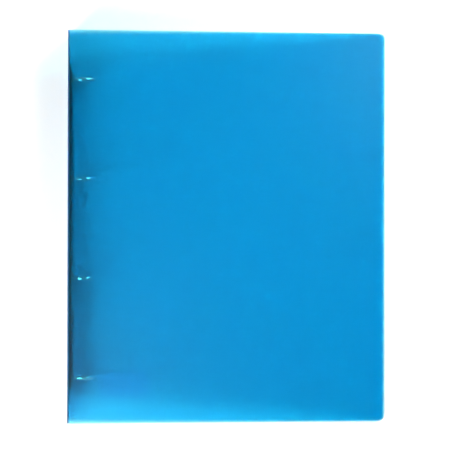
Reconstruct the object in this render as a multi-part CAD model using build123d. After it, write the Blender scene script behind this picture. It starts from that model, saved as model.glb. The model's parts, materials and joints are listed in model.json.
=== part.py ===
"""Four-ring binder for A4 sheets, in frosted polypropylene, with a small steel O-ring mechanism on its spine.

The binder lies closed on its back cover. Millimetres, +Z up. The origin is the centre of the
bottom of its box: X runs from the spine to the fore edge, and Y runs along the spine.
The front cover slopes down from the top of the spine and rests over the back cover's fore edge.
"""

import math
import os

from build123d import *

# ---- Covers and spine -------------------------------------------------------------------
cover_width = 256.5  # from the spine's outer face to the fore edge
cover_height = 316.0
spine_height = 30.0
sheet = 1.0  # thickness of the covers and the spine
corner_radius = 4.5  # fore-edge corners; the spine's own corners stay square
fore_edge_gap = 0.3  # between the resting front cover and the back cover

hinge_reach = 0.8  # from the hinge line to where a cover or the spine starts
web_thickness = 0.35  # the thin fold between a cover and the spine

# ---- Ring mechanism ---------------------------------------------------------------------
ring_pitch = 80.0
ring_count = 4
ring_inner_diameter = 15.0
ring_wire = 2.8
ring_centre_height = 12.0  # from the spine's inner face
mechanism_offset = -0.8  # from the spine's middle, towards the back cover
mechanism_shift = -1.5  # of the mechanism's middle along the spine, as riveted

plate_length = 286.0
plate_width = 18.0
plate_depth = 4.6
plate_steel = 0.6
shoulder_share = 0.48  # height of the plate's side walls as a share of its depth
lip_width = 1.3  # how far the plate's curled edges reach in under the blades
tab_length = 9.0  # flattened end that takes a rivet
tab_depth = 1.2
taper_length = 11.0  # from the flattened end up to the full arch
tab_corner = 4.0

blade_thickness = 0.8
blade_steepness = 6.0  # degrees off flat when the rings are closed
opening_angle = 12.0  # degrees that each blade swings to open the rings
pivot_clearance = 0.15  # between a blade's rounded edge and the plate's side wall
blade_end_clearance = 1.0
blade_gap = 0.4  # between the two blades' inner edges when they are flat
pivot_height = 1.55  # of the blades' outer edges above the spine

tip_gap = 0.2  # between the two halves of a closed ring
nose_radius = 0.9
nose_height = 0.8
nose_clearance = 0.15
leg_bend_radius = 3.0
ring_arc = 140.0  # degrees of the round part of one half ring
stake_radius = 1.0
stake_clearance = 0.05
stake_head_radius = 1.5
stake_head_height = 0.35
slot_clearance = 0.4  # round a ring's wire in the plate, over its whole swing

# ---- Rivets -----------------------------------------------------------------------------
rivet_radius = 2.0
rivet_bore = 1.2
rivet_clearance = 0.1
rivet_head_radius = 4.0
rivet_head_height = 0.8
rivet_flare_radius = 2.9
rivet_flare_height = 0.45

# ---- Blank label on the outside of the back cover ---------------------------------------
label_width = 40.0
label_height = 20.0
label_thickness = 0.1
label_corner = 1.5
label_clearance = 0.05  # round the label in its shallow seat, so that it lies flush
label_from_spine = 25.5
label_from_bottom = 20.0

# ---- Worked out from the sizes above ----------------------------------------------------
spine_outer_x = (rivet_head_height - cover_width) / 2
spine_inner_x = spine_outer_x + sheet
fore_edge_x = spine_outer_x + cover_width
hinge_x = spine_outer_x + sheet / 2
top_hinge_z = spine_height - sheet / 2
panel_length = cover_width - sheet / 2

cover_drop = top_hinge_z - sheet - fore_edge_gap
cover_slope = math.degrees(
    math.asin(cover_drop / math.hypot(panel_length, sheet / 2))
    - math.atan2(sheet / 2, panel_length)
)

mechanism_z = spine_height / 2 + mechanism_offset
pivot_side = plate_width / 2 - plate_steel - pivot_clearance - blade_thickness / 2
blade_reach = pivot_side - blade_gap / 2
main_half = plate_length / 2 - tab_length - taper_length
ring_radius = (ring_inner_diameter + ring_wire) / 2
ring_places = [(i - (ring_count - 1) / 2) * ring_pitch for i in range(ring_count)]
rivet_places = [side * (plate_length - tab_length) / 2 for side in (-1, 1)]
label_middle = (
    spine_outer_x + label_from_spine + label_width / 2,
    label_from_bottom + (label_height - cover_height) / 2,
    label_thickness / 2,
)

# The mechanism is drawn in a cross-section: x is the height above the spine's inner face,
# y is across the spine from the mechanism's middle, and z runs back along the spine from it.
section = Plane(
    origin=(spine_inner_x, mechanism_shift, mechanism_z), x_dir=(1, 0, 0), z_dir=(0, -1, 0)
)


def closed_face(*edges):
    """A face inside the given chain of edges."""
    return make_face(Curve() + list(edges))


def along_spine(sketch, length):
    """A solid of one cross-section, as long to each side of the middle."""
    return extrude(sketch, length / 2, both=True)


def rounded_block(centre, size, radius):
    """A block whose four edges along Z are rounded."""
    block = Pos(*centre) * Box(*size)
    return fillet(block.edges().filter_by(Axis.Z), radius)


# ---- Covers, spine and folds ------------------------------------------------------------
def cover_panel():
    """A cover lying flat: its hinge line is the Y axis, at the middle of its thickness."""
    length = panel_length - hinge_reach
    panel = Pos(hinge_reach + length / 2, 0, 0) * Box(length, cover_height, sheet)
    fore_corners = panel.edges().filter_by(Axis.Z).group_by(Axis.X)[-1]
    return fillet(fore_corners, corner_radius)


def label_block(clearance):
    """The label, or with a clearance the seat that it lies in."""
    size = (label_width + 2 * clearance, label_height + 2 * clearance, label_thickness)
    return rounded_block(label_middle, size, label_corner + clearance)


def back_cover():
    """The lower cover, with the label's shallow seat in its underside."""
    return Pos(hinge_x, 0, sheet / 2) * cover_panel() - label_block(label_clearance)


def front_cover():
    return Pos(hinge_x, 0, top_hinge_z) * Rot(0, cover_slope, 0) * cover_panel()


def spine_panel():
    """The upright strip between the two folds, with a hole for each rivet."""
    height = spine_height - sheet - 2 * hinge_reach
    panel = Pos(hinge_x, 0, spine_height / 2) * Box(sheet, cover_height, height)
    hole = Rot(0, 90, 0) * Cylinder(rivet_radius + rivet_clearance, 2 * sheet)
    for y in rivet_places:
        panel -= Pos(hinge_x, mechanism_shift + y, mechanism_z) * hole
    return panel


def living_hinge(hinge_z, spine_way, cover_way):
    """The thin web that curves from the edge of the spine into the edge of a cover."""
    corner = Vector(hinge_x, 0, hinge_z)
    spine_way = Vector(*spine_way)
    cover_way = Vector(*cover_way)
    half_angle = math.radians(spine_way.get_angle(cover_way) / 2)
    inwards = (spine_way + cover_way).normalized()
    centre = corner + inwards * (hinge_reach / math.cos(half_angle))
    radius = hinge_reach * math.tan(half_angle)
    to_spine = (corner + spine_way * hinge_reach - centre).normalized()
    to_cover = (corner + cover_way * hinge_reach - centre).normalized()
    inner = radius - web_thickness / 2
    outer = radius + web_thickness / 2
    web = closed_face(
        ThreePointArc(centre + to_spine * outer, centre - inwards * outer, centre + to_cover * outer),
        Line(centre + to_cover * outer, centre + to_cover * inner),
        ThreePointArc(centre + to_cover * inner, centre - inwards * inner, centre + to_spine * inner),
        Line(centre + to_spine * inner, centre + to_spine * outer),
    )
    return along_spine(web, cover_height)


def back_living_hinge():
    return living_hinge(sheet / 2, (0, 0, 1), (1, 0, 0))


def front_living_hinge():
    slope = math.radians(cover_slope)
    return living_hinge(top_hinge_z, (0, 0, -1), (math.cos(slope), 0, -math.sin(slope)))


def outer_label():
    """A blank label stuck to the outside of the back cover, near the spine."""
    return label_block(0)


# ---- Mechanism plate --------------------------------------------------------------------
def arch_face(depth, width):
    """The filled outline of the arched plate, down to the spine."""
    side = width / 2
    shoulder = depth * shoulder_share
    return closed_face(
        Line((0, -side), (shoulder, -side)),
        ThreePointArc((shoulder, -side), (depth, 0), (shoulder, side)),
        Line((shoulder, side), (0, side)),
        Line((0, side), (0, -side)),
    )


def arch_run(depth, width, tab_end_depth):
    """The filled plate: full arch, tapers and flat ends, each taking over from the last."""
    full = arch_face(depth, width)
    flat = arch_face(tab_end_depth, width)
    run = along_spine(full, 2 * main_half)
    taper = loft([Pos(0, 0, main_half) * full, Pos(0, 0, main_half + taper_length) * flat], ruled=True)
    tab = extrude(Pos(0, 0, main_half + taper_length) * flat, tab_length)
    end = taper + tab
    return run + end + mirror(end, about=Plane.XY)


def ring_slot(swing_side):
    """The hole in the arch that one half ring's leg swings in."""
    leg_in = leg_side - ring_wire / 2 - slot_clearance
    leg_out = leg_side + ring_wire / 2 + leg_travel + slot_clearance
    height = plate_depth
    slot = Pos(pivot_height + height / 2, swing_side * (leg_in + leg_out) / 2, 0) * Box(
        height, leg_out - leg_in, ring_wire + 2 * slot_clearance
    )
    return slot


def mechanism_plate():
    """An arched steel plate with curled edges, ring slots and a flattened, drilled tab at each end."""
    hollow_width = plate_width - 2 * plate_steel
    plate = arch_run(plate_depth, plate_width, tab_depth)
    plate -= arch_run(plate_depth - plate_steel, hollow_width, tab_depth - plate_steel)
    for side in (-1, 1):
        middle = side * (hollow_width - lip_width) / 2
        plate += Pos(plate_steel / 2, middle, 0) * Box(plate_steel, lip_width, 2 * main_half)
    for y in ring_places:
        for side in (-1, 1):
            plate -= Pos(0, 0, -y) * ring_slot(side)
    hole = Pos(tab_depth, 0, 0) * Rot(0, 90, 0) * Cylinder(rivet_radius + rivet_clearance, 2 * tab_depth)
    for y in rivet_places:
        plate -= Pos(0, 0, -y) * hole
    trim = Box(4 * plate_depth, plate_width, plate_length)
    trim = fillet(trim.edges().filter_by(Axis.X), tab_corner)
    return section.location * (plate & trim)


# ---- Blades and rings -------------------------------------------------------------------
# Both are drawn for the upper half, and the lower half is its mirror image.
tilt = math.radians(blade_steepness)
blade_in = Vector(-math.sin(tilt), -math.cos(tilt), 0)  # from the pivot to the blade's inner edge
blade_up = Vector(math.cos(tilt), -math.sin(tilt), 0)  # square to the blade, away from the spine
pivot = Vector(pivot_height, pivot_side, 0)
blade_plane = Plane(origin=pivot, x_dir=blade_in, z_dir=(0, 0, 1))


def half_ring_path(half_gap):
    """From the tip, round the ring, and bent back square to the blade."""
    tip = (ring_centre_height + ring_radius, half_gap, 0)
    bow = JernArc(tip, (0, 1, 0), ring_radius, ring_arc)
    bend = JernArc(bow @ 1, bow % 1, leg_bend_radius, 90 - ring_arc - blade_steepness)
    foot = bend @ 1
    above_blade = (foot - pivot).dot(blade_up) - blade_thickness / 2
    leg = Line(foot, foot - blade_up * above_blade)
    return bow, bend, leg


tip_half_gap = tip_gap / 2
leg_foot = half_ring_path(tip_half_gap)[2] @ 1
leg_from_pivot = (leg_foot - pivot).dot(blade_in)
leg_side = (half_ring_path(tip_half_gap)[1] @ 1).Y
leg_travel = (plate_depth - pivot_height) * math.sin(math.radians(opening_angle))
flip_down = Plane.XZ  # mirroring about it turns an upper piece into its lower twin


def blade():
    """A long steel strip that rocks on its rounded outer edge, with a hole for each half ring."""
    length = 2 * main_half - 2 * blade_end_clearance
    half = blade_thickness / 2
    strip = Pos(blade_reach / 2, 0, 0) * Box(blade_reach, blade_thickness, length)
    strip += Cylinder(half, length)
    hole = Rot(90, 0, 0) * Cylinder(stake_radius + stake_clearance, 2 * blade_thickness)
    for y in ring_places:
        strip -= Pos(leg_from_pivot, 0, -y) * hole
    return blade_plane.location * strip


def half_ring(with_nose):
    """A half ring of round wire, with the stake and its riveted head at the foot."""
    bow, bend, leg = half_ring_path(tip_half_gap)
    path = Wire([bow, bend, leg])
    wire = Plane(origin=bow @ 0, z_dir=(0, 1, 0)) * Circle(ring_wire / 2)
    ring = sweep(wire, path=path)
    stake_length = blade_thickness + stake_head_height
    downwards = Plane(origin=leg @ 1, z_dir=blade_up * -1).location
    ring += downwards * Pos(0, 0, stake_length / 2) * Cylinder(stake_radius, stake_length)
    head = Cylinder(stake_head_radius, stake_head_height)
    ring += downwards * Pos(0, 0, blade_thickness + stake_head_height / 2) * head
    tip = Pos(ring_centre_height + ring_radius, tip_half_gap, 0)
    if with_nose:
        nose = Rot(90, 0, 0) * Cone(nose_radius, nose_radius / 4, nose_height)
        return ring + tip * Pos(0, -nose_height / 2, 0) * nose
    depth = nose_height + nose_clearance - tip_gap
    socket_radius = nose_radius + nose_clearance
    socket = Rot(-90, 0, 0) * Cone(socket_radius, nose_radius / 4 + nose_clearance, depth)
    return ring - tip * Pos(0, depth / 2, 0) * socket


def upper_blade():
    return section.location * blade()


def lower_blade():
    return section.location * mirror(blade(), about=flip_down)


def upper_ring_half(y):
    return section.location * (Pos(0, 0, -y) * half_ring(with_nose=False))


def lower_ring_half(y):
    return section.location * (Pos(0, 0, -y) * mirror(half_ring(with_nose=True), about=flip_down))


# ---- Rivets -----------------------------------------------------------------------------
def rivet():
    """A hollow rivet along X: rounded head outside the spine, rolled rim over the plate's tab."""
    shank = sheet + tab_depth
    head = Pos(0, 0, -rivet_head_height / 2) * Cylinder(rivet_head_radius, rivet_head_height)
    head = fillet(head.edges().group_by(Axis.Z)[0], 0.8 * rivet_head_height)
    rim = Pos(0, 0, shank + rivet_flare_height / 2) * Cylinder(rivet_flare_radius, rivet_flare_height)
    rim = fillet(rim.edges().group_by(Axis.Z)[-1], 0.8 * rivet_flare_height)
    body = head + Pos(0, 0, shank / 2) * Cylinder(rivet_radius, shank) + rim
    bore_length = shank + rivet_flare_height
    body -= Pos(0, 0, bore_length / 2) * Cylinder(rivet_bore, bore_length)
    return Rot(0, 90, 0) * body


def mechanism_rivets():
    """Both rivets, one through each end of the plate."""
    places = [mechanism_shift + y for y in rivet_places]
    return [Pos(spine_outer_x, y, mechanism_z) * rivet() for y in places]


# ---- Write the model --------------------------------------------------------------------
nodes = {
    "back_cover": back_cover(),
    "front_cover": front_cover(),
    "spine_panel": spine_panel(),
    "back_living_hinge": back_living_hinge(),
    "front_living_hinge": front_living_hinge(),
    "outer_label": outer_label(),
    "mechanism_plate": mechanism_plate(),
    "mechanism_rivets": Compound(children=mechanism_rivets()),
    "upper_blade": upper_blade(),
    "lower_blade": lower_blade(),
}
for number, place in enumerate(reversed(ring_places), start=1):
    nodes[f"upper_ring_half_{number}"] = upper_ring_half(place)
    nodes[f"lower_ring_half_{number}"] = lower_ring_half(place)

os.makedirs("parts", exist_ok=True)
for name, shape in nodes.items():
    export_step(shape, f"parts/{name}.step")

pivot_z = mechanism_z + pivot_side
print(f"cover slope {cover_slope:.4f} degrees")
print(f"hinge axes: x {hinge_x:.3f}, z {sheet / 2:.3f} and {top_hinge_z:.3f}")
print(f"blade pivots: x {spine_inner_x + pivot_height:.3f}, z {pivot_z:.3f}"
      f" and {2 * mechanism_z - pivot_z:.3f}")
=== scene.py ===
# %% [markdown]
# # A see-through ring binder
# The binder is two flat covers and a spine, cut from one sheet of frosted polypropylene, with a
# small steel ring mechanism riveted to the inside of the spine.
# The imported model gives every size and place. This lesson remakes the pieces that show as clean
# meshes, and gives each of them the finish of its own material.

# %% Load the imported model
import json
import math

import bpy
from mathutils import Matrix, Vector


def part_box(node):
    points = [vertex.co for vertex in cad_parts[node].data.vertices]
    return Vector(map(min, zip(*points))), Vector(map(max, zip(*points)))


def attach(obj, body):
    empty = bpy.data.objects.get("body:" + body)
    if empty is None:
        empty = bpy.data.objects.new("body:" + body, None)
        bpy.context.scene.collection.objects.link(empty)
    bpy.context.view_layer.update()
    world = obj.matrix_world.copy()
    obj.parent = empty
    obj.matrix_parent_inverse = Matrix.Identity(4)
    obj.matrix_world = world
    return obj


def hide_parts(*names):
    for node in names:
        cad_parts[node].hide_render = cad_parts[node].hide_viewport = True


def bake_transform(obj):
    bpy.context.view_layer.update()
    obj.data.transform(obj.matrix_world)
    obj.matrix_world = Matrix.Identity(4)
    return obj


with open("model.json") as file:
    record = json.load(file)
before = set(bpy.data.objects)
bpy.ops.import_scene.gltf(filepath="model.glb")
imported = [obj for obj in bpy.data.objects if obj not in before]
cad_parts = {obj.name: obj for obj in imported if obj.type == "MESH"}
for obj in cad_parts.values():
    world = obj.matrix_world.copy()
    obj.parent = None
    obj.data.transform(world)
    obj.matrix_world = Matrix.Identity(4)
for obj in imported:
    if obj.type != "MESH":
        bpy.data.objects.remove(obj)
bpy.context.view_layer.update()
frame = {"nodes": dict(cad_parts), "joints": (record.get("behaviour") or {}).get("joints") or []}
MM = 0.001
print("pieces of the packed model:", len(frame["nodes"]))

# %% [markdown]
# ## Sizes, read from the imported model
# A hinge is a line, and the record says where each one is. The boxes of the covers and the spine
# give the rest, so nothing here is measured twice.
# The front cover slopes from the top of the spine down to the back cover's fore edge.

# %% Read the sizes
joints = {joint["name"]: joint for joint in frame["joints"]}
low_fold = Vector(joints["back_hinge"]["pos_m"])
top_fold = Vector(joints["front_hinge"]["pos_m"])
back_low, back_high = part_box("back_cover")
front_low, front_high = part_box("front_cover")
spine_low, spine_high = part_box("spine_panel")
sheet = spine_high.x - spine_low.x
height = back_high.y - back_low.y
cover_reach = back_high.x - low_fold.x
fold_reach = back_low.x - low_fold.x
slope = math.asin((top_fold.z - front_low.z - sheet / 2) / cover_reach)
print(
    f"cover {cover_reach / MM:.1f} x {height / MM:.1f} mm, sheet {sheet / MM:.2f} mm,"
    f" front cover slopes {math.degrees(slope):.2f} degrees"
)

# %% [markdown]
# ## Studio
# A see-through object shows whatever light comes through it, so the light is the first thing to
# get right. Two softboxes stand about a metre away, across opposite corners of the table, and the
# room above is dim: most of the light reaches the eye from the white table under the binder, the
# open ends glow, and the flat cover carries no glare.


# %% Two softboxes
def deselect():
    """Leaves edit mode and selects nothing, as an operator acts on all that is selected."""
    if bpy.context.object and bpy.context.object.mode != "OBJECT":
        bpy.ops.object.mode_set(mode="OBJECT")
    bpy.ops.object.select_all(action="DESELECT")


def softbox(name, direction, distance, size, power):
    """A square area light that faces the middle of the table from so many metres away."""
    deselect()
    towards = Vector(direction).normalized()
    turn = towards.to_track_quat("Z", "Y").to_euler()
    bpy.ops.object.light_add(type="AREA", location=towards * distance, rotation=turn)
    lamp = bpy.context.object
    lamp.name = name
    lamp.data.shape = "SQUARE"
    lamp.data.size = size
    lamp.data.energy = power
    print(f"{name}: {power} W, {size} m wide, {distance} m away")


softbox("softbox_lower_left", (-0.56, -0.56, 0.60), distance=1.2, size=0.65, power=22.8)
softbox("softbox_upper_right", (0.62, 0.60, 0.50), distance=1.0, size=0.5, power=16.6)

# %% [markdown]
# ## Room
# The room is a world with one Background node. It gives the scene a little light from everywhere,
# so that no shadow is black. The camera itself sees a pale backdrop, which lights nothing: a Map
# Range turns "this ray comes straight from the camera" into a larger strength.

# %% A dim room with a pale backdrop
ROOM_LIGHT = 0.05
BACKDROP = 0.85
room = bpy.data.worlds.new("dim_room")
room.use_nodes = True
room_tree = room.node_tree
background = room_tree.nodes["Background"]
background.inputs["Color"].default_value = (1.0, 1.0, 1.0, 1.0)
ray = room_tree.nodes.new("ShaderNodeLightPath")
strength = room_tree.nodes.new("ShaderNodeMapRange")
strength.inputs["To Min"].default_value = ROOM_LIGHT
strength.inputs["To Max"].default_value = BACKDROP
room_tree.links.new(ray.outputs["Is Camera Ray"], strength.inputs["Value"])
room_tree.links.new(strength.outputs["Result"], background.inputs["Strength"])
bpy.context.scene.world = room
print("room light", ROOM_LIGHT, "and backdrop", BACKDROP)

# %% [markdown]
# ## Table
# The table is a round white disc, only as large as the lamps light it, so that a low view shows
# no dark far end. It lies a third of a millimetre under the binder, because two faces at exactly
# the same height would fight for the light and turn black.

# %% A white table
TABLE_RADIUS = 0.9
TABLE_DROP = 0.3 * MM
deselect()
bpy.ops.mesh.primitive_circle_add(
    vertices=96, radius=TABLE_RADIUS, fill_type="NGON", location=(0, 0, -TABLE_DROP)
)
table = bpy.context.object
table.name = "table"
print(f"table {2 * TABLE_RADIUS:.1f} m wide, {TABLE_DROP / MM:.1f} mm under the binder")

# %% [markdown]
# ## Camera
# The camera looks straight down from a metre and a half through a long lens. The spine's edge is
# nearer to it than the fore edge, so the left side of the cover looks a little taller than the
# right side, as it does from where a person would stand. The camera is turned a hair to the left.

# %% Camera above the cover
CAMERA_PLACE = (-0.72 * MM, 0.8 * MM, 1.56)
CAMERA_TURN = math.radians(0.14)
LENS = 152.0
bpy.ops.object.camera_add(location=CAMERA_PLACE, rotation=(0, 0, CAMERA_TURN))
camera = bpy.context.object
camera.data.lens = LENS
camera.data.sensor_width = 36.0
camera.data.clip_end = 50.0
bpy.context.scene.camera = camera
bpy.context.scene.view_settings.view_transform = "Standard"
print(f"camera {CAMERA_PLACE[2]:.2f} m above the table, {LENS:.0f} mm lens")

# %% [markdown]
# ## Light through several sheets
# Each sheet has two surfaces, and light crosses them on its way down to the table and again on
# its way back, so a path needs many more bounces than a solid object would.

# %% Bounces and noise
cycles = bpy.context.scene.cycles
cycles.max_bounces = 32
cycles.transmission_bounces = 32
cycles.diffuse_bounces = 12
cycles.glossy_bounces = 8
cycles.use_denoising = True
cycles.sample_clamp_indirect = 0
print("bounces:", cycles.max_bounces)

# %% [markdown]
# ## Shader maths as plain expressions
# A node tree is easier to read as a sum. `Value` wraps a socket, and its operators add Math nodes.
# `Shader.node` adds any other node, sets its options first and then its inputs.


# %% A small wrapper for sockets
class Value:
    """One output socket, with the operators that this lesson uses."""

    def __init__(self, shader, socket):
        self.shader = shader
        self.socket = socket

    def math(self, operation, *others):
        return self.shader.node("ShaderNodeMath", {"operation": operation}, [self, *others])

    def __add__(self, other):
        return self.math("ADD", other)

    def __radd__(self, other):
        return self.math("ADD", other)

    def __sub__(self, other):
        return self.math("SUBTRACT", other)

    def __rsub__(self, other):
        return self.shader.node("ShaderNodeMath", {"operation": "SUBTRACT"}, [other, self])

    def __mul__(self, other):
        return self.math("MULTIPLY", other)

    def __rmul__(self, other):
        return self.math("MULTIPLY", other)

    def between(self, low, high):
        """0 below low, 1 above high and a soft step in between."""
        return self.shader.node(
            "ShaderNodeMapRange",
            {"interpolation_type": "SMOOTHSTEP"},
            {"Value": self, "From Min": low, "From Max": high},
        )


class Shader:
    """One material, with its Principled shader and the object's own coordinates."""

    def __init__(self, name):
        self.material = bpy.data.materials.new(name)
        self.material.use_nodes = True
        self.tree = self.material.node_tree
        self.principled = self.tree.nodes["Principled BSDF"]
        self.place = self.node("ShaderNodeTexCoord", output="Object")

    def plug(self, socket, value):
        if isinstance(value, Value):
            self.tree.links.new(value.socket, socket)
        else:
            socket.default_value = value

    def node(self, kind, options=None, inputs=None, output=0):
        """Adds a node: its options, then its inputs by name or in order; gives one output."""
        made = self.tree.nodes.new(kind)
        for option, setting in (options or {}).items():
            setattr(made, option, setting)
        pairs = inputs.items() if isinstance(inputs, dict) else enumerate(inputs or [])
        for socket, value in pairs:
            self.plug(made.inputs[socket], value)
        return Value(self, made.outputs[output])

    def noise(self, size, detail=2.0, stretch=(1, 1, 1)):
        """Cloudy noise from 0 to 1 whose patches are about size metres across."""
        scaled = self.node("ShaderNodeMapping", inputs={"Vector": self.place, "Scale": stretch})
        settings = {"Vector": scaled, "Scale": 1 / size, "Detail": detail}
        return self.node("ShaderNodeTexNoise", inputs=settings)

    def blend(self, factor, first, second):
        """One colour turning into another."""
        mixed = self.node("ShaderNodeMix", {"data_type": "RGBA"}, output=2)
        node = mixed.socket.node
        self.plug(node.inputs[0], factor)
        self.plug(node.inputs[6], first)
        self.plug(node.inputs[7], second)
        return mixed

    def bump(self, height_value, depth):
        """A normal raised by a height from 0 to 1, depth metres deep."""
        return self.node(
            "ShaderNodeBump", inputs={"Height": height_value, "Distance": depth, "Strength": 1.0}
        )

    def set(self, **inputs):
        """Sets Principled inputs: Base_Color=... sets Base Color."""
        for name, value in inputs.items():
            self.plug(self.principled.inputs[name.replace("_", " ")], value)
        return self.material


# %% [markdown]
# ## Frosted polypropylene
# The sheet is coloured all through and its faces are matt, so things close behind it show nearly
# sharp and things further off melt away. That is a rough glass: full transmission, an almost
# colourless surface, and the blue in its depth, where each millimetre takes most of the red and
# little of the rest. Two sheets on top of each other are then darker than one, as real ones are.
# The index is set low, because the matt face has no mirror in it. The pressed grain is fine and
# even, and a few cloudy patches are a little rougher, as on any extruded sheet.


# %% Plastic
LEFT_BY_ONE_MM = (0.27, 0.795, 0.925)
FROST = 0.40
CLOUD_FROST = 0.05
CLOUD_SIZE = 45 * MM
GRAIN_SIZE = 0.9 * MM
GRAIN_DEPTH = 0.01 * MM
MATT_INDEX = 1.13


def frosted_plastic(name, left_by_one_mm, roughness):
    """Blue see-through sheet: colour in its depth, a fine pressed grain on its faces."""
    shader = Shader(name)
    clouds = shader.noise(CLOUD_SIZE, detail=3.0)
    grain = shader.noise(GRAIN_SIZE, detail=2.0)
    taken = [-math.log(part) / MM for part in left_by_one_mm]
    density = max(taken)
    depth = shader.node(
        "ShaderNodeVolumeAbsorption",
        inputs={"Color": (*(1 - part / density for part in taken), 1), "Density": density},
    )
    shader.plug(shader.tree.nodes["Material Output"].inputs["Volume"], depth)
    return shader.set(
        Base_Color=shader.blend(
            clouds.between(0.35, 0.65), (0.96, 0.985, 0.99, 1), (0.97, 0.99, 1.0, 1)
        ),
        Roughness=roughness + CLOUD_FROST * clouds,
        Normal=shader.bump(grain, GRAIN_DEPTH),
        Transmission_Weight=1.0,
        IOR=MATT_INDEX,
    )


cover_plastic = frosted_plastic("frosted_polypropylene", LEFT_BY_ONE_MM, FROST)
print("one millimetre lets through red, green, blue:", LEFT_BY_ONE_MM)

# %% [markdown]
# ## Metals
# The plate and the rings are nickel plated, with faint drawing lines and a few dull patches where
# hands have been. The plate's nickel is painted far darker than the ring wire's: painted shade, for
# the dark strip that the plate makes along the spine. The blades under the plate are bare rolled
# strip, greyer and rougher, with lines along their length.


# %% Nickel and strip steel
LINE_SIZE = 1.2 * MM
LINE_DEPTH = 0.008 * MM
PATCH_SIZE = 12 * MM
WORN_SHADE = 0.82
EVEN = (1, 1, 1)
DRAWN_ALONG_PLATE = (1, 0.12, 1)
ROLLED_ALONG_BLADE = (1, 0.05, 1)


def plated_steel(name, colour, roughness, stretch):
    """Metal with fine lines along one way and softly uneven polish."""
    shader = Shader(name)
    lines = shader.noise(LINE_SIZE, detail=3.0, stretch=stretch)
    dull = shader.noise(PATCH_SIZE, detail=3.0).between(0.45, 0.75)
    worn = tuple(WORN_SHADE * part for part in colour)
    return shader.set(
        Base_Color=shader.blend(dull, (*colour, 1), (*worn, 1)),
        Metallic=1.0,
        Roughness=roughness + 0.1 * dull + 0.05 * lines,
        Normal=shader.bump(lines, LINE_DEPTH),
    )


# Painted shade: the plate's colour is set far darker than real nickel, to give the dark strip along
# the spine.
nickel = plated_steel("nickel_plate_painted_shade", (0.30, 0.30, 0.29), 0.10, DRAWN_ALONG_PLATE)
ring_nickel = plated_steel("ring_nickel", (0.80, 0.79, 0.77), 0.12, EVEN)
strip_steel = plated_steel(
    "rolled_strip_steel", (0.42, 0.42, 0.43), 0.32, ROLLED_ALONG_BLADE
)
print("metals:", nickel.name, ring_nickel.name, strip_steel.name)

# %% [markdown]
# ## Label film and table
# The label is a matt film with a faint fibre in it, a little violet against the blue sheet, and
# it covers what is behind it. The table is plain matt white.

# %% Label film and table
FIBRE_SIZE = 0.7 * MM
FIBRE_DEPTH = 0.02 * MM
label_shader = Shader("label_film")
fibres = label_shader.noise(FIBRE_SIZE, detail=4.0)
label_film = label_shader.set(
    Base_Color=label_shader.blend(fibres, (0.80, 0.73, 0.90, 1), (0.86, 0.79, 0.95, 1)),
    Roughness=0.55 + 0.1 * fibres,
    Normal=label_shader.bump(fibres, FIBRE_DEPTH),
)

table_shader = Shader("white_table")
table_shader.set(Base_Color=(0.93, 0.93, 0.93, 1), Roughness=0.85)
table.data.materials.append(table_shader.material)
print("label and table:", label_film.name, table_shader.material.name)

# %% [markdown]
# ## Tools for shaping a piece
# Every plastic piece starts as a primitive, is shaped in edit mode, and ends with its object at
# the origin and its place in its mesh, so that it turns with its hinge. `pick` selects by position,
# as a hand would with the mouse. At the end, doubled points are merged, the faces are turned
# outwards and everything but the sharp edges is shaded smooth.

# %% Helpers for modelling
TINY = 1e-6


def begin(name):
    """Names the primitive that was just added and puts its place into its mesh."""
    piece = bpy.context.object
    piece.name = name
    piece.data.name = name
    bpy.ops.object.transform_apply(location=True, rotation=True, scale=True)
    return piece


def pick(piece, kind, test):
    """Enters edit mode with only those vertices, edges or faces whose middle passes the test."""
    deselect()
    piece.select_set(True)
    bpy.context.view_layer.objects.active = piece
    bpy.ops.object.mode_set(mode="EDIT")
    bpy.ops.mesh.select_all(action="DESELECT")
    bpy.ops.mesh.select_mode(type=kind)
    bpy.ops.object.mode_set(mode="OBJECT")
    mesh = piece.data
    points = [vertex.co for vertex in mesh.vertices]
    items = {"VERT": mesh.vertices, "EDGE": mesh.edges, "FACE": mesh.polygons}[kind]
    for item in items:
        if kind == "VERT":
            middle = item.co
        elif kind == "EDGE":
            middle = (points[item.vertices[0]] + points[item.vertices[1]]) / 2
        else:
            middle = item.center
        item.select = bool(test(middle))
    bpy.ops.object.mode_set(mode="EDIT")


def pick_all(piece):
    """Enters edit mode with the whole mesh selected."""
    pick(piece, "VERT", lambda middle: True)


SMOOTH_ANGLE = math.radians(40.0)
MERGE = 2e-6


def finish_plastic(piece, *replaced):
    """Cleans and shades a mesh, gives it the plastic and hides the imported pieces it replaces."""
    pick_all(piece)
    bpy.ops.mesh.remove_doubles(threshold=MERGE)
    bpy.ops.mesh.normals_make_consistent(inside=False)
    deselect()
    piece.select_set(True)
    bpy.context.view_layer.objects.active = piece
    bpy.ops.object.shade_smooth_by_angle(angle=SMOOTH_ANGLE)
    piece.data.materials.clear()
    piece.data.materials.append(cover_plastic)
    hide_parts(*replaced)
    print(f"{piece.name}: {len(piece.data.polygons)} faces")
    return piece


def put(piece, matrix):
    """Moves the mesh to its place in the binder; the object itself stays at the origin."""
    deselect()
    piece.data.transform(matrix)
    piece.data.update()


print("helpers: begin, pick, pick_all, finish_plastic, put")

# %% [markdown]
# ## Covers and spine
# A cover is stamped from flat sheet: square where it meets the spine, rounded at its two outer
# corners, its cut edges slightly broken. Where it meets the fold the die has pressed it thin.
# A plane is stretched to size, its outer corners are beveled, and it is extruded to a sheet.
# The thin edge comes from one bisect beside the fold and from squeezing the outermost edge.
# A rounded corner and a broken edge are too small for the record, so they are named here.

# %% Make a stamped sheet
WEB = 0.35 * MM
PRESSED = 0.35 * MM
BROKEN_EDGE = 0.12 * MM
BROKEN_STEPS = 2
CORNER = 4.5 * MM
CORNER_STEPS = 12


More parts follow.
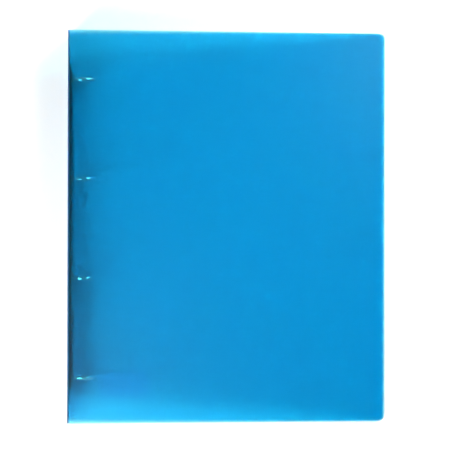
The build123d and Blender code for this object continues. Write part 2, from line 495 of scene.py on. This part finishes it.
def stamped_sheet(name, near, far, corner, thin_far):
    """A sheet in the XY plane from x = near to x = far, thin at near and perhaps at far."""
    deselect()
    bpy.ops.mesh.primitive_plane_add(size=1)
    piece = begin(name)
    pick_all(piece)
    bpy.ops.transform.resize(value=(far - near, height, 1), center_override=(0, 0, 0))
    bpy.ops.transform.translate(value=((near + far) / 2, 0, 0))
    if corner:
        pick(piece, "VERT", lambda middle: middle.x > far - TINY)
        bpy.ops.mesh.bevel(offset=corner, segments=CORNER_STEPS, affect="VERTICES")
    pick_all(piece)
    bpy.ops.mesh.extrude_region_move(TRANSFORM_OT_translate={"value": (0, 0, sheet)})
    pick_all(piece)
    bpy.ops.transform.translate(value=(0, 0, -sheet / 2))
    presses = [near + PRESSED] + ([far - PRESSED] if thin_far else [])
    for press in presses:
        pick_all(piece)
        bpy.ops.mesh.bisect(plane_co=(press, 0, 0), plane_no=(1, 0, 0))
    thin_ends = [near] + ([far] if thin_far else [])
    pick(piece, "VERT", lambda middle: any(abs(middle.x - end) < TINY for end in thin_ends))
    bpy.ops.transform.resize(value=(1, 1, WEB / sheet), center_override=(0, 0, 0))
    flat_edge = sheet / 2 - TINY
    pick(
        piece,
        "EDGE",
        lambda middle: abs(middle.z) > flat_edge and on_rim(middle, far, corner, thin_far),
    )
    bpy.ops.mesh.bevel(offset=BROKEN_EDGE, segments=BROKEN_STEPS, affect="EDGES")
    return piece


def on_rim(middle, far, corner, thin_far):
    """Whether an edge's middle lies on the outline, away from the folds."""
    if abs(middle.y) > height / 2 - TINY:
        return True
    if thin_far:
        return False
    if middle.x > far - TINY:
        return True
    return middle.x > far - corner and abs(middle.y) > height / 2 - corner


# %% [markdown]
# ## A seat for the label
# A plain pale label is stuck to the outside of the back cover, in a seat as deep as the film is
# thick, so that the binder still slides flat into a shelf. Four bisects draw its outline on the
# sheet, the face inside them is extruded into the sheet, and its four corners are beveled round.

# %% Press the label's seat
SEAT_GAP = 0.05 * MM
SEAT_CORNER = 1.5 * MM
SEAT_STEPS = 6


def press_seat(piece, low, high, depth):
    """Presses a rounded rectangle into the underside of a sheet that is still at the origin."""
    for place, way in ((low.x, 0), (high.x, 0), (low.y, 1), (high.y, 1)):
        pick_all(piece)
        across = Vector((way == 0, way == 1, 0))
        bpy.ops.mesh.bisect(plane_co=across * place, plane_no=across)
    middle_x, middle_y = (low.x + high.x) / 2, (low.y + high.y) / 2
    floor = -sheet / 2
    pick(
        piece,
        "FACE",
        lambda middle: middle.z < floor + TINY
        and abs(middle.x - middle_x) < (high.x - low.x) / 2
        and abs(middle.y - middle_y) < (high.y - low.y) / 2,
    )
    bpy.ops.mesh.extrude_region_move(TRANSFORM_OT_translate={"value": (0, 0, depth)})
    pick(
        piece,
        "EDGE",
        lambda middle: floor + TINY < middle.z < floor + depth - TINY
        and min(abs(middle.x - low.x), abs(middle.x - high.x)) < TINY
        and min(abs(middle.y - low.y), abs(middle.y - high.y)) < TINY,
    )
    bpy.ops.mesh.bevel(offset=SEAT_CORNER, segments=SEAT_STEPS, affect="EDGES")
    print(f"label seat {depth / MM:.2f} mm deep")


# %% [markdown]
# ## The three panels
# All three panels come from the same die, so one function makes them. Each is shaped flat, round
# its own fold line, and then laid in its place: the back cover on the table, the spine turned
# upright, and the front cover sloping down to the fore edge.

# %% Back cover, front cover and spine
SEAT_DEEPER = 0.02 * MM
label_low, label_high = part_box("outer_label")
gap = Vector((SEAT_GAP, SEAT_GAP, 0))
back_sheet = stamped_sheet("back_cover_sheet", fold_reach, cover_reach, CORNER, False)
press_seat(
    back_sheet,
    label_low - gap - low_fold,
    label_high + gap - low_fold,
    label_high.z + SEAT_DEEPER,
)
put(back_sheet, Matrix.Translation(low_fold))
finish_plastic(back_sheet, "back_cover")
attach(back_sheet, "back")

front_sheet = stamped_sheet("front_cover_sheet", fold_reach, cover_reach, CORNER, False)
put(front_sheet, Matrix.Translation(top_fold) @ Matrix.Rotation(slope, 4, "Y"))
finish_plastic(front_sheet, "front_cover")
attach(front_sheet, "front")

spine_length = top_fold.z - low_fold.z
spine_sheet = stamped_sheet("spine_sheet", fold_reach, spine_length - fold_reach, 0, True)
put(spine_sheet, Matrix.Translation(low_fold) @ Matrix.Rotation(-math.pi / 2, 4, "Y"))
finish_plastic(spine_sheet, "spine_panel")
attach(spine_sheet, "spine")

# %% [markdown]
# ## The two folds
# A living hinge is the same sheet pressed so thin that it bends for years without cracking. Here a
# thin rectangle at the end of the spine is spun round into the edge of the cover, in a dozen steps.


# %% Spin the folds
FOLD_STEPS = 12


def fold(name, corner, spine_way, cover_way, replaced):
    """A thin curved web from the spine's edge to a cover's edge."""
    spine_way, cover_way = Vector(spine_way).normalized(), Vector(cover_way).normalized()
    half = spine_way.angle(cover_way) / 2
    inwards = (spine_way + cover_way).normalized()
    centre = corner + inwards * (fold_reach / math.cos(half))
    start, end = corner + spine_way * fold_reach, corner + cover_way * fold_reach
    across = (centre - start).normalized()
    deselect()
    bpy.ops.mesh.primitive_plane_add(size=1)
    piece = begin(name)
    pick_all(piece)
    bpy.ops.transform.resize(value=(WEB, height, 1), center_override=(0, 0, 0))
    upright = Matrix((across, Vector((0, 1, 0)), across.cross(Vector((0, 1, 0))))).transposed()
    put(piece, Matrix.Translation(start) @ upright.to_4x4())
    pick_all(piece)
    sweep = math.pi - 2 * half
    turn_axis = across.cross(-spine_way)
    bpy.ops.mesh.spin(
        steps=FOLD_STEPS, angle=sweep, center=centre, axis=turn_axis.normalized(), dupli=False
    )
    finish_plastic(piece, replaced)
    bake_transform(piece)
    return piece


sloping = (math.cos(slope), 0, -math.sin(slope))
down, up, along = (0, 0, -1), (0, 0, 1), (1, 0, 0)
front_fold = fold("front_fold", top_fold, down, sloping, "front_living_hinge")
back_fold = fold("back_fold", low_fold, up, along, "back_living_hinge")
for strip in (front_fold, back_fold):
    xs = [vertex.co.x for vertex in strip.data.vertices]
    zs = [vertex.co.z for vertex in strip.data.vertices]
    print(
        f"{strip.name}: x {min(xs) / MM:.2f} to {max(xs) / MM:.2f} mm,"
        f" z {min(zs) / MM:.2f} to {max(zs) / MM:.2f} mm"
    )

# %% [markdown]
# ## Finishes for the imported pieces
# The steel pieces have the right shape already: bent wire with cut tips, a folded plate with its
# two tabs, flat blades and round rivets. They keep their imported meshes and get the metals, and
# the label gets its film. Only the plastic was remade, because light passes through every one of
# its edges and shows each fault of a mesh.

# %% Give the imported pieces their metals
for name, piece in frame["nodes"].items():
    if "cover" in name or "living_hinge" in name or "spine" in name:
        continue
    if "blade" in name:
        finish = strip_steel
    elif "ring_half" in name:
        finish = ring_nickel
    elif "label" in name:
        finish = label_film
    else:
        finish = nickel
    piece.data.materials.clear()
    piece.data.materials.append(finish)
    print(f"{name}: {finish.name}")
